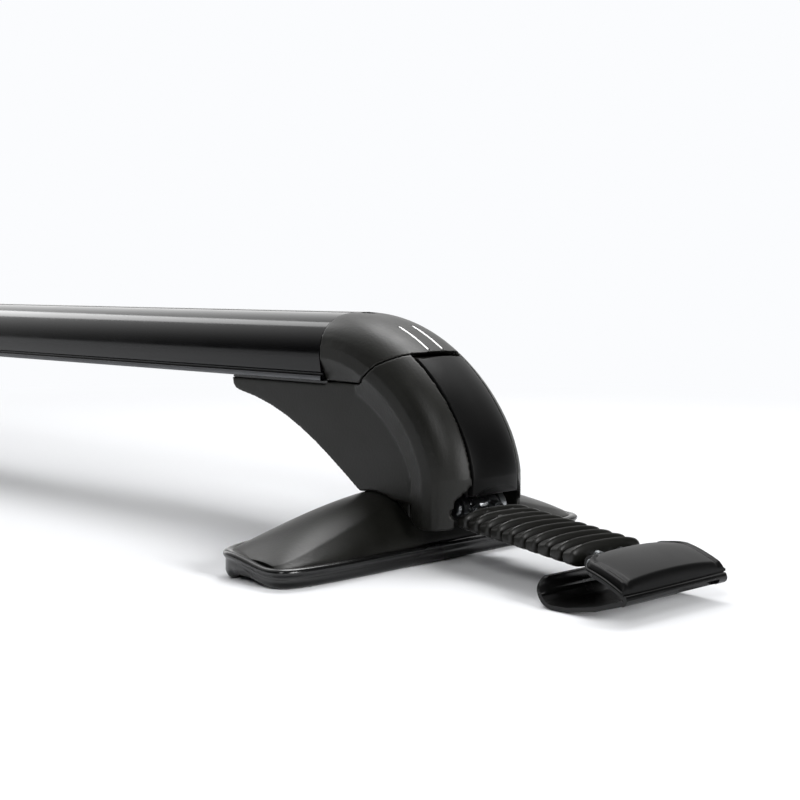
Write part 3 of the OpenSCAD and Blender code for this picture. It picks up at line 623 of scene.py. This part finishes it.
def bar_outline(lip):
    """Outline of the extrusion, across and up: a superellipse crown with the slot let into its
    top, and stepped flanks down to the lips on both sides of the clamp channel."""
    skin = crown(BAR_SIDE, BAR_RISE, 90)
    skin = skin[skin[:, 0] > SLOT_HALF + 0.2]
    deep = SLOT_HALF + UNDERCUT
    slot = [
        [SLOT_HALF, crown_height(SLOT_HALF, BAR_SIDE, BAR_RISE)],
        [SLOT_HALF, SLOT_CEILING],
        [deep, SLOT_CEILING],
        [deep, SLOT_FLOOR],
    ]
    half = np.array(CHANNEL[::-1] + FLANK[::-1] + skin.tolist() + slot)
    cornered = len(CHANNEL) + len(FLANK)
    radius = np.concatenate(
        [np.full(cornered, CORNER_R), np.zeros(len(skin)), [lip] + [CORNER_R] * 3]
    )
    mirrored = half[::-1] * [-1, 1]
    return rounded(np.vstack([half, mirrored]), np.concatenate([radius, radius[::-1]]))


def bar_hollow():
    """Outline of the space inside the extrusion, one wall inside its skin, slot and channel."""
    side, rise = BAR_SIDE - BAR_WALL, BAR_RISE - BAR_WALL
    beside_slot = SLOT_HALF + UNDERCUT + BAR_WALL
    beside_channel = CHANNEL[-1][0] + BAR_WALL
    skin = crown(side, rise, 60)
    skin = skin[skin[:, 0] > beside_slot + 0.1]
    half = [[beside_channel, CHANNEL[-1][1] + BAR_WALL], [beside_channel, BAR_WALL]]
    half += [[HOLLOW_FOOT, BAR_WALL]] + skin.tolist()
    half += [[beside_slot, crown_height(beside_slot, side, rise)]]
    half = np.array(half + [[beside_slot, SLOT_FLOOR - BAR_WALL]])
    return np.vstack([half, half[::-1] * [-1, 1]])


def lip_reflection_band(flank):
    """Outline of the painted reflection along a lower lip: a metal band on the lip's own
    rounded nose, a hair proud.
    """
    return rounded(np.array(LIP_REFLECTION_NOSE), 0.35) * [flank, 1] + [0, BAR_Z]


class CROSSBAR_OT_bar(bpy.types.Operator):
    """Extruded bar with its slot, clamp channel and coating, and painted reflections on its lips
    """

    bl_idname = "crossbar.bar"
    bl_label = "Bar"

    def execute(self, context):
        lip = context.scene.crossbar_sizes.lip_round * 1000
        loops = [bar_outline(lip), bar_hollow()]
        flat = [[Vector((y, z, 0)) for y, z in loop] for loop in loops]
        ends = np.array(tessellate_polygon(flat))
        across = np.vstack(loops)
        count = len(across)
        stations = np.array([-BAR_HALF, BAR_HALF])
        points = np.empty((2, count, 3))
        points[..., 0] = stations[:, None]
        points[..., 1] = across[:, 0]
        points[..., 2] = across[:, 1] + BAR_Z
        walls = []
        for loop, start in zip(loops, (0, len(loops[0]))):
            j = np.arange(len(loop))
            k = (j + 1) % len(loop)
            walls.append(np.stack([start + j, start + k, count + start + k, count + start + j], 1))
        faces = np.vstack(walls).tolist() + ends.tolist() + (ends + count).tolist()
        bar = solid("bar_extrusion", points.reshape(-1, 3), faces, angle=30)
        dress(context, bar, "rack", ["bar"])
        # Painted reflection: a shiny dark metal band on each lower lip stands in for the floor's
        # reflection in the gloss coating along the lip
        for name, flank in (("near", -1), ("far", 1)):
            edge = lip_reflection_band(flank)
            run = np.empty((2, len(edge), 3))
            run[..., 0] = stations[:, None]
            run[..., 1:] = edge
            band = bundle(f"bar_lip_{name}", [run], angle=50)
            dress(context, band, "rack", [], "black_steel")
        return {"FINISHED"}


# Tower, cap, cover and stripes


def skin_curve(t, depth):
    """Points under the shoulder: the cubic through its four handles, moved square to the curve
    by a depth, as X and Z."""
    t = t[:, None]
    s = 1 - t
    p = SHOULDER
    at = s**3 * p[0] + 3 * s**2 * t * p[1] + 3 * s * t * t * p[2] + t**3 * p[3]
    run = s**2 * (p[1] - p[0]) + 2 * s * t * (p[2] - p[1]) + t * t * (p[3] - p[2])
    run /= np.linalg.norm(run, axis=1, keepdims=True)
    inward = np.stack([run[:, 1], -run[:, 0]], 1)
    return at[:, None] + inward[:, None] * depth[..., None]


def stripe(centre, rows=61, columns=20):
    """One inlay: a run of flattened rings under the shoulder, whose half width falls to nothing
    along a quarter circle at both ends, so that the ends are round."""
    t = np.linspace(*STRIPE_RUN, rows)
    spine = skin_curve(t, np.zeros((rows, 1)))[:, 0]
    along = np.concatenate([[0], np.cumsum(np.linalg.norm(np.diff(spine, axis=0), axis=1))])
    half = STRIPE_W / 2
    end = np.minimum(along, along[-1] - along)
    width = half * np.sqrt(np.clip(1 - np.clip(1 - end / half, 0, 1) ** 2, 0, 1))
    a = np.linspace(0, 2 * math.pi, columns, endpoint=False)
    depth = STRIPE_MID - STRIPE_HALF_T * spow(np.sin(a), 0.4)
    under = skin_curve(t, np.broadcast_to(depth, (rows, columns)))
    points = np.empty((rows, columns, 3))
    points[..., 0] = under[..., 0]
    points[..., 1] = centre + width[:, None] * spow(np.cos(a), 0.5)
    points[..., 2] = under[..., 1]
    return points


class CROSSBAR_OT_towers(bpy.types.Operator):
    """Moulded towers, end caps, access covers and their white stripes"""

    bl_idname = "crossbar.towers"
    bl_label = "Towers and caps"

    def execute(self, context):
        for side in SIDES:
            for part, body, cell, passes in MOULDED:
                node = f"{side}_{part}"
                piece = softened_copy(node, cell, passes)
                trued(piece.data, side)
                dress(context, piece, body.format(side=side), [node])
            shapes = [stripe(-STRIPE_GAP / 2), stripe(STRIPE_GAP / 2)]
            inlay = bundle(f"{side}_stripes", shapes, side, ends=False)
            dress(context, inlay, "rack", [f"{side}_stripe_inlays"])
        return {"FINISHED"}


# Sole and foot shell


def sole_inner(y):
    """Inboard edge of the foot: a parabola, furthest in at the middle of its length."""
    bow = np.minimum(1, np.abs(y) * 2 / SOLE_LEN) ** 2
    return -SOLE_IN_MID + (SOLE_IN_MID - SOLE_IN_END) * bow


def rim_top(x):
    """Height of the rim's top: it rises inboard along a smooth step, 3 s^2 - 2 s^3."""
    s = np.clip((RIM_STEP_FROM - x) / RIM_STEP, 0, 1)
    return RIM_H + RIM_RISE * s * s * (3 - 2 * s)


def foot_ring(angles, share, grow):
    """Plan outline of the foot: a superellipse fitted between the straight outboard edge and the
    bowed inboard one, grown by a length and shrunk to a share of its size."""
    power = 2 / FOOT_POWER
    reach = (np.abs(np.cos(angles)) ** power + np.abs(np.sin(angles)) ** power) ** (-1 / power)
    y = (SOLE_LEN / 2 + grow) * share * reach * np.sin(angles)
    inner = sole_inner(y)
    x = (SOLE_OUT + inner) / 2 + ((SOLE_OUT - inner) / 2 + grow) * share * reach * np.cos(angles)
    return x, y


def even_angles(count):
    """Angles at which the foot's outline is cut into equal lengths."""
    a = np.linspace(0, 2 * math.pi, 20001)
    x, y = foot_ring(a, 1, 0)
    along = np.concatenate([[0], np.cumsum(np.hypot(np.diff(x), np.diff(y)))])
    return np.interp(np.linspace(0, along[-1], count + 1)[:-1], along, a)


def sole_points(bead, count=360):
    """The sole as rings round the foot's outline. They start as a point under its middle, spread
    over the underside with its arched relief, round under the side, roll over the bead and end
    as a point on the floor inside. Below the bead a ring is (share of the outline, growth,
    height), and from the waist up it is (growth, drop under the rim's top)."""
    angles = even_angles(count)
    low = [(s, -4.4, 0.0) for s in np.linspace(0, 1, 26)]
    low += [(1, -3.2, 0.2), (1, -2.2, 0.7), (1, -1.45, 1.5), (1, -1.0, 2.5), (1, -0.8, 3.4)]
    roll = np.radians(np.linspace(-52, 90, 13))
    high = [(-0.8, 4.4), (-0.8, 3.9), (-0.88, 3.5)]
    high += [(bead * (math.cos(r) - 1), bead * (1 - math.sin(r))) for r in roll]
    high += [(-2.2, 0.08), (-2.8, 0.35), (-3.3, 0.55), (-4.2, 0.6), (-4.9, 0.8), (-RIM_W, 1.8)]
    floor = [(s, -RIM_W, SOLE_FLOOR) for s in np.linspace(1, 0, 14)]
    points = []
    for share, grow, z in low:
        x, y = foot_ring(angles, share, grow)
        arch = np.clip((x + 6) / 3, 0, 1) * np.clip((18 - x) / 12, 0, 1) ** 1.3
        points.append(np.stack([x, y, z + SOLE_ARCH * arch], 1))
    for grow, drop in high:
        x, y = foot_ring(angles, 1, grow)
        points.append(np.stack([x, y, rim_top(x) - drop], 1))
    for share, grow, z in floor:
        x, y = foot_ring(angles, share, grow)
        points.append(np.stack([x, y, np.full_like(x, z)], 1))
    return np.array(points)


def dome_points(rows=141, columns=97):
    """Outer skin of the foot shell: stations along the vehicle, each an arch over the foot's own
    width, standing on the rim. The ridge falls from the tower to both ends by a power curve, and
    the outboard flank is hollowed a little below a soft fold."""
    y = -DOME_HALF * np.cos(np.linspace(0, math.pi, rows))
    to_end = np.abs(y) / DOME_HALF
    share = (1 - (np.abs(y) / (DOME_HALF + 0.6)) ** (2 / FOOT_POWER)) ** (FOOT_POWER / 2)
    inner = sole_inner(y)
    middle = (SOLE_OUT + inner) / 2
    reach = ((SOLE_OUT - inner) / 2 - DOME_INSET) * share
    top = DOME_END + (DOME_H - DOME_END) * np.maximum(0, 1 - to_end**1.7) ** 0.85
    u = -np.cos(np.linspace(0, math.pi, columns))
    arch = (1 - u * u) ** 0.62
    fold = 0.85 - 0.45 * (1 - to_end)[:, None]
    hollow = np.clip((u - fold) / (1 - fold), 0, 1)
    points = np.empty((rows, columns, 3))
    points[..., 0] = middle[:, None] + reach[:, None] * u
    points[..., 1] = y[:, None]
    foot = rim_top(points[..., 0]) - DOME_SUNK
    rise = np.maximum(0, top[:, None] - foot)
    points[..., 2] = foot + rise * (arch - DOME_HOLLOW * hollow * (1 - hollow) ** 0.7)
    return points


class CROSSBAR_OT_feet(bpy.types.Operator):
    """Rubber soles with their rolled rims, and the domed foot shells"""

    bl_idname = "crossbar.feet"
    bl_label = "Feet"

    def execute(self, context):
        bead = context.scene.crossbar_sizes.bead_round * 1000
        for side in SIDES:
            sole = bundle(f"{side}_sole_rolled", [sole_points(bead)], side, angle=50, ends=False)
            dress(context, sole, "rack", [f"{side}_sole"])
            points = dome_points()
            rows, columns = points.shape[:2]
            points = points.reshape(-1, 3)
            faces = quads(rows, columns, False)
            x, y, _ = points[faces].mean(1).T
            under_tower = (x > TOWER_IN) & (x < TOWER_OUT) & (np.abs(y) < TOWER_HALF)
            shell = solid(f"{side}_dome", points, faces[~under_tower], side, 60, upward=True)
            wall = shell.modifiers.new("wall", "SOLIDIFY")
            wall.thickness = DOME_WALL / 1000
            wall.offset = -1
            dress(context, shell, "rack", [f"{side}_foot_shell"])
        return {"FINISHED"}


# Strap and ropes


def sleeve_points():
    """The strap's rubber: a flat superellipse with a crowned top, carried along the strap. Its
    top rises in a straight line to each rib's crest, which has a bell-shaped lip, and falls
    steeply behind it, so that the ribs lie like scales, and a parabola keeps rubber over each
    rope in the gaps. The sides are drawn in along a quarter round towards each gap."""
    per_rib = 20
    u = np.linspace(0, RIB_COUNT * RIB_PITCH, RIB_COUNT * per_rib + 1)
    phase = (u / RIB_PITCH) % 1.0
    phase[-1] = 1.0
    slope = np.where(
        phase < RIB_CREST, phase / RIB_CREST, ((1 - phase) / (1 - RIB_CREST)) ** 0.6
    )
    lip = np.exp(-(((phase - RIB_CREST + 0.05) / 0.06) ** 2))
    sunk = RIB_DEEP * (1 - slope) + RIB_LIP * (1 - lip)
    # A gap takes the last quarter of a rib's pitch and a little more of the next one's start
    gap = np.minimum(phase * 0.8, 1 - phase) / 0.24
    lobe = SCALLOP * (1 - np.sqrt(1 - np.clip(1 - gap, 0, 1) ** 2))
    a = np.linspace(0, 2 * math.pi, 120, endpoint=False)
    half = (STRAP_W / 2 - lobe)[:, None]
    s = spow(np.sin(a), 0.6)
    rise = STRAP_T / 2 - np.where(s > 0, sunk[:, None], 0.6 * lobe[:, None])
    v = half * spow(np.cos(a), 0.4)
    points = np.empty((len(u), len(a), 3))
    points[..., 0] = u[:, None]
    points[..., 1] = v
    points[..., 2] = rise * s + np.where(s > 0, STRAP_CROWN * (1 - (v / half) ** 2), 0)
    rope_z = SLEEVE_DROP - u[:, None] * math.tan(math.radians(SLEEVE_TILT))
    over = rope_z + ROPE_R + ROPE_COVER - 0.4 * (np.abs(v) - ROPE_GAP / 2) ** 2
    points[..., 2] = np.where(s > 0, np.maximum(points[..., 2], over), points[..., 2])
    return on_strap(turned(points, pitch=-SLEEVE_TILT) + [SLEEVE_START, 0, -SLEEVE_DROP])


def rope_points(centre, lay, strands, rows=211, columns=54):
    """A wire rope: rings along the strap whose radius swells once for each strand, and which
    turn once in each lay."""
    u = np.linspace(*ROPE_RUN, rows)[:, None]
    a = np.linspace(0, 2 * math.pi, columns, endpoint=False)[None, :]
    turn = a - 2 * math.pi * u / lay
    r = ROPE_R * (0.8 + 0.2 * np.abs(np.cos(strands / 2 * turn)) ** 0.7)
    points = np.empty((rows, columns, 3))
    points[..., 0] = u
    points[..., 1] = centre + r * np.cos(a)
    points[..., 2] = r * np.sin(a)
    return on_strap(points)


class CROSSBAR_OT_straps(bpy.types.Operator):
    """Ribbed rubber straps over their wire ropes"""

    bl_idname = "crossbar.straps"
    bl_label = "Straps"

    def execute(self, context):
        sizes = context.scene.crossbar_sizes
        for side in SIDES:
            sleeve = bundle(f"{side}_ribs", [sleeve_points()], side, angle=60)
            dress(context, sleeve, f"{side}_strap", [f"{side}_strap_sleeve"])
            pair = [
                rope_points(half * ROPE_GAP, sizes.rope_lay * 1000, sizes.rope_strands)
                for half in (-0.5, 0.5)
            ]
            ropes = bundle(f"{side}_strands", pair, side, angle=60)
            dress(context, ropes, f"{side}_strap", [f"{side}_wire_ropes"])
        return {"FINISHED"}


# Hook


def pad_points():
    """The pad on the hook: sections across the flange, from its neck at the pin to its outer
    edge. Each has a thin rim at the plate, a step in, and a crowned top with a bell-shaped bead
    and groove along its edge, which turns over a quarter round. The height falls away in the last
    millimetre at both ends."""
    run = FLANGE_OUT - FLANGE_IN
    u = FLANGE_IN + run * (1 - np.cos(np.linspace(0, math.pi, 61))) / 2
    s = (u - FLANGE_IN) / run
    spread = np.sin(math.pi / 2 * np.minimum(1, (u - FLANGE_IN) / PAD_FLARE))
    half = PAD_NECK / 2 + (PAD_W - PAD_NECK) / 2 * spread
    # The underside droops by 6.5 mm outboard, where the pad is also thickest and most crowned
    low = 2.2 - 6.5 * s**1.7
    thick = 3 - 0.8 * (1 - s)
    crowned = 1.7 * (0.45 + 0.55 * s)
    to_end = np.minimum(u - FLANGE_IN, FLANGE_OUT - u)
    fade = np.sqrt(np.clip(1 - np.clip(1 - to_end / 1.3, 0, 1) ** 2, 0, 1))
    q = np.sin(np.linspace(-math.pi / 2, math.pi / 2, 81))
    top_half = half - PAD_STEP_IN
    v = top_half[:, None] * q
    share = v / half[:, None]
    rise = thick[:, None] * (1 - 0.35 * share**6) + crowned[:, None] * (1 - share**2)
    # Bead and groove, at 1.5 and 3.7 mm from the edge
    edge = top_half[:, None] - np.abs(v)
    bead = 0.55 * np.exp(-(((edge - 1.5) / 0.9) ** 2))
    groove = 0.5 * np.exp(-(((edge - 3.7) / 0.7) ** 2))
    turn = (1 - np.abs(q) ** 60) ** 0.5
    body = np.maximum(0, rise + bead - groove - PAD_RIM)
    top = low[:, None] + PAD_RIM + body * turn * fade[:, None]
    # The step in and the rim with its rounded edge, outwards and down from the top's edge
    rim_v = np.array([0, -0.1, 0, 0.45, 0.75, 0.8, 0.8, 0.7])
    rim_z = PAD_RIM - np.array([0, 0, 0, 0, 0.12, 0.3, PAD_RIM - 0.25, PAD_RIM])
    n, m = len(q), len(rim_v)
    points = np.empty((len(u), n + 2 * m, 3))
    points[..., 0] = u[:, None]
    points[:, :n, 1] = v
    points[:, :n, 2] = top
    points[:, n : n + m, 1] = top_half[:, None] + rim_v
    points[:, n : n + m, 2] = low[:, None] + rim_z
    points[:, n + m :, 1] = -(top_half[:, None] + rim_v[::-1])
    points[:, n + m :, 2] = low[:, None] + rim_z[::-1]
    return on_hook(points)


class CROSSBAR_OT_hooks(bpy.types.Operator):
    """Folded steel hooks and their moulded pads"""

    bl_idname = "crossbar.hooks"
    bl_label = "Hooks"

    def execute(self, context):
        for side in SIDES:
            pad = bundle(f"{side}_pad", [pad_points()], side, angle=40)
            dress(context, pad, f"{side}_hook", [f"{side}_hook_pad"])
            plate = f"{side}_hook_plate"
            dress(context, merged_copy(plate), f"{side}_hook", [plate])
        return {"FINISHED"}


class CROSSBAR_OT_hardware(bpy.types.Operator):
    """Screws, pins, plates and ferrules with their finishes"""

    bl_idname = "crossbar.hardware"
    bl_label = "Hardware"

    def execute(self, context):
        bodies = {n: b for b, ns in frame["record"]["behaviour"]["bodies"].items() for n in ns}
        for side in SIDES:
            for part in ROUND_PARTS:
                node = f"{side}_{part}"
                dress(context, merged_copy(node), bodies[node], [node])
            for part in FLAT_PARTS:
                coat(context, f"{side}_{part}")
        coat(context, "top_strip")
        return {"FINISHED"}


def coat(context, node):
    """Puts a node's finish on the node itself."""
    mesh = frame["nodes"][node].data
    mesh.materials.clear()
    mesh.materials.append(material_for(context, slot_of(node)))


# Stage


def softbox(name, at, aim, size, power):
    """A rectangular lamp at a place, facing another."""
    lamp = bpy.data.lights.new(name, "AREA")
    lamp.shape = "RECTANGLE"
    lamp.size, lamp.size_y = size
    lamp.energy = power
    holder = bpy.data.objects.new(name, lamp)
    bpy.context.scene.collection.objects.link(holder)
    holder.location = at
    holder.rotation_euler = (Vector(aim) - Vector(at)).to_track_quat("-Z", "Y").to_euler()


def photo_camera(scene):
    """The camera that stands where the photo's one stood, by its place, turn and tilt."""
    camera = bpy.data.cameras.new("photo_view")
    camera.lens = CAMERA_LENS
    camera.sensor_width = CAMERA_SENSOR
    camera.clip_end = 100
    holder = bpy.data.objects.new("photo_view", camera)
    scene.collection.objects.link(holder)
    holder.location = CAMERA_AT
    turn, down = math.radians(CAMERA_TURN), math.radians(CAMERA_DOWN)
    gaze = Vector(
        (-math.sin(turn) * math.cos(down), math.cos(turn) * math.cos(down), -math.sin(down))
    )
    holder.rotation_euler = gaze.to_track_quat("-Z", "Y").to_euler()
    scene.camera = holder


def pale_floor(scene):
    """A wide floor: matt paint round the part, which holds its shadow, and further out a plain
    glow of the same tone, so that the picture's far floor and background are one."""
    mesh = bpy.data.meshes.new("studio_floor")
    r = FLOOR_HALF
    mesh.from_pydata([(-r, -r, 0), (r, -r, 0), (r, r, 0), (-r, r, 0)], [], [(0, 1, 2, 3)])
    floor = bpy.data.objects.new("studio_floor", mesh)
    scene.collection.objects.link(floor)
    paint = bpy.data.materials.new("matt_floor_paint")
    paint.use_nodes = True
    tree = paint.node_tree
    tree.nodes.clear()
    tone = tuple(scene.crossbar_colours.floor)
    lit = add(tree, "ShaderNodeBsdfDiffuse", color=shade(tone, FLOOR_NEAR), roughness=1.0)
    far = add(tree, "ShaderNodeEmission", color=tone, strength=1.0)
    place = add(tree, "ShaderNodeTexCoord").outputs["Object"]
    away = add(tree, "ShaderNodeVectorMath", {0: place}, operation="DISTANCE")
    away.inputs[1].default_value = FLOOR_MIDDLE
    fade = add(
        tree,
        "ShaderNodeMapRange",
        {"value": away.outputs["Value"]},
        interpolation_type="SMOOTHSTEP",
        from_min=FLOOR_FADE[0],
        from_max=FLOOR_FADE[1],
    )
    mix = add(
        tree,
        "ShaderNodeMixShader",
        {"fac": fade.outputs[0], 1: lit.outputs[0], 2: far.outputs[0]},
    )
    add(tree, "ShaderNodeOutputMaterial", {"surface": mix.outputs[0]})
    mesh.materials.append(paint)


def studio_air(scene):
    """The world: plain white light from beyond the part, high on the left, and dark elsewhere,
    while the camera itself sees the floor's own tone. It draws the bright bands along the top of
    the bar and on the shoulder."""
    world = bpy.data.worlds.new("studio_air")
    scene.world = world
    world.use_nodes = True
    tree = world.node_tree
    tree.nodes.clear()
    gaze = add(tree, "ShaderNodeTexCoord").outputs["Generated"]
    facing = add(tree, "ShaderNodeVectorMath", {0: gaze}, operation="DOT_PRODUCT")
    facing.inputs[1].default_value = GLOW_FROM
    glow = add(
        tree,
        "ShaderNodeMapRange",
        {"value": facing.outputs["Value"]},
        interpolation_type="SMOOTHSTEP",
        from_min=GLOW_FACING[0],
        from_max=GLOW_FACING[1],
        to_min=GLOW_STRENGTH[0],
        to_max=GLOW_STRENGTH[1],
    )
    lighting = add(
        tree, "ShaderNodeBackground", {"strength": glow.outputs[0]}, color=(1, 1, 1, 1)
    )
    tone = tuple(scene.crossbar_colours.floor)
    seen = add(tree, "ShaderNodeBackground", color=tone, strength=1.0)
    path = add(tree, "ShaderNodeLightPath")
    mix = add(
        tree,
        "ShaderNodeMixShader",
        {"fac": path.outputs["Is Camera Ray"], 1: lighting.outputs[0], 2: seen.outputs[0]},
    )
    add(tree, "ShaderNodeOutputWorld", {"surface": mix.outputs[0]})


class CROSSBAR_OT_stage(bpy.types.Operator):
    """Camera, soft studio light and a pale floor"""

    bl_idname = "crossbar.stage"
    bl_label = "Stage"

    def execute(self, context):
        scene = context.scene
        scene.view_settings.view_transform = "Standard"
        photo_camera(scene)
        pale_floor(scene)
        studio_air(scene)
        for name, at, aim, size, power in SOFTBOXES:
            softbox(name, at, aim, size, power)
        return {"FINISHED"}


class CROSSBAR_PT_looks(bpy.types.Panel):
    """Lists the crossbar's pieces, sizes and colours"""

    bl_label = "Crossbar"
    bl_idname = "CROSSBAR_PT_looks"
    bl_space_type = "VIEW_3D"
    bl_region_type = "UI"
    bl_category = "Crossbar"

    def draw(self, context):
        for group in (context.scene.crossbar_sizes, context.scene.crossbar_colours):
            box = self.layout.box()
            for name in group.__annotations__:
                box.prop(group, name)
        for step in STEPS:
            self.layout.operator(step.bl_idname)


STEPS = (
    CROSSBAR_OT_bar,
    CROSSBAR_OT_towers,
    CROSSBAR_OT_feet,
    CROSSBAR_OT_straps,
    CROSSBAR_OT_hooks,
    CROSSBAR_OT_hardware,
    CROSSBAR_OT_stage,
)
CLASSES = (CrossbarColours, CrossbarSizes, *STEPS, CROSSBAR_PT_looks)


def register():
    for item in CLASSES:
        bpy.utils.register_class(item)
    bpy.types.Scene.crossbar_colours = PointerProperty(type=CrossbarColours)
    bpy.types.Scene.crossbar_sizes = PointerProperty(type=CrossbarSizes)


def unregister():
    del bpy.types.Scene.crossbar_sizes
    del bpy.types.Scene.crossbar_colours
    for item in reversed(CLASSES):
        bpy.utils.unregister_class(item)


def main():
    register()
    bpy.ops.crossbar.stage()
    bpy.ops.crossbar.bar()
    bpy.ops.crossbar.towers()
    bpy.ops.crossbar.feet()
    bpy.ops.crossbar.straps()
    bpy.ops.crossbar.hooks()
    bpy.ops.crossbar.hardware()


if __name__ == "__main__":
    main()
